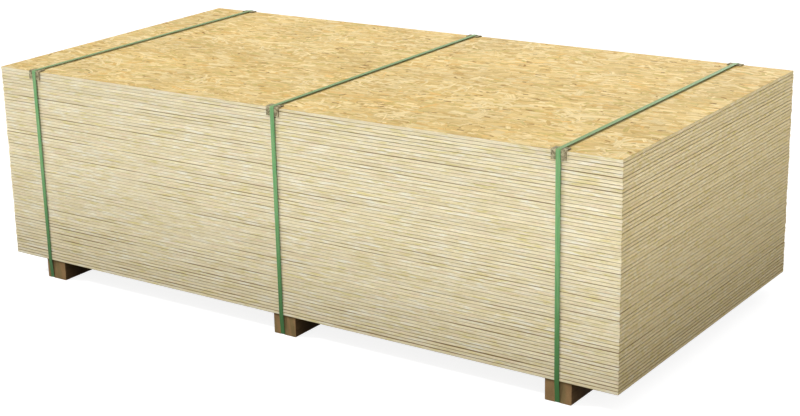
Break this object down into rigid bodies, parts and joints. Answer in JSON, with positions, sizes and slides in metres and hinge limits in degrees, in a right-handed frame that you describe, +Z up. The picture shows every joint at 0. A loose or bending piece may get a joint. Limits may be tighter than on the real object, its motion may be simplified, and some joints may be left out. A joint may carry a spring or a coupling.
{
  "type": "stack of osb panels",
  "caption": "Strapped pack of square-edged oriented strand boards lying on timber bearers, with corner protectors under the straps.",
  "frame": {"origin": "on the floor, in the middle of the pack", "axes": "+X along the boards, +Y across them towards the back, +Z up"},
  "size_m": [2.503, 1.261, 0.7918],
  "materials": {
    "osb": "raw pressed strands, sawn edges",
    "bearer_timber": "rough sawn softwood, weathered",
    "strap_pet": "satin, embossed",
    "protector_board": "folded grey-brown board, matt"
  },
  "bodies": {
    "root": {"panel_bottom": "osb", "panels_02_to_08": "osb", "panels_09_to_15": "osb", "panels_16_to_22": "osb", "panels_23_to_29": "osb", "panels_30_to_36": "osb", "panels_37_to_43": "osb", "panels_44_to_50": "osb", "panels_51_to_57": "osb", "panels_58_to_64": "osb", "panel_top": "osb", "bearer_left": "bearer_timber", "bearer_middle": "bearer_timber", "bearer_right": "bearer_timber", "strap_left": "strap_pet", "strap_middle": "strap_pet", "strap_right": "strap_pet", "corner_protector_front_left": "protector_board", "corner_protector_front_middle": "protector_board", "corner_protector_front_right": "protector_board", "corner_protector_back_left": "protector_board", "corner_protector_back_middle": "protector_board", "corner_protector_back_right": "protector_board"}
  },
  "joints": []
}
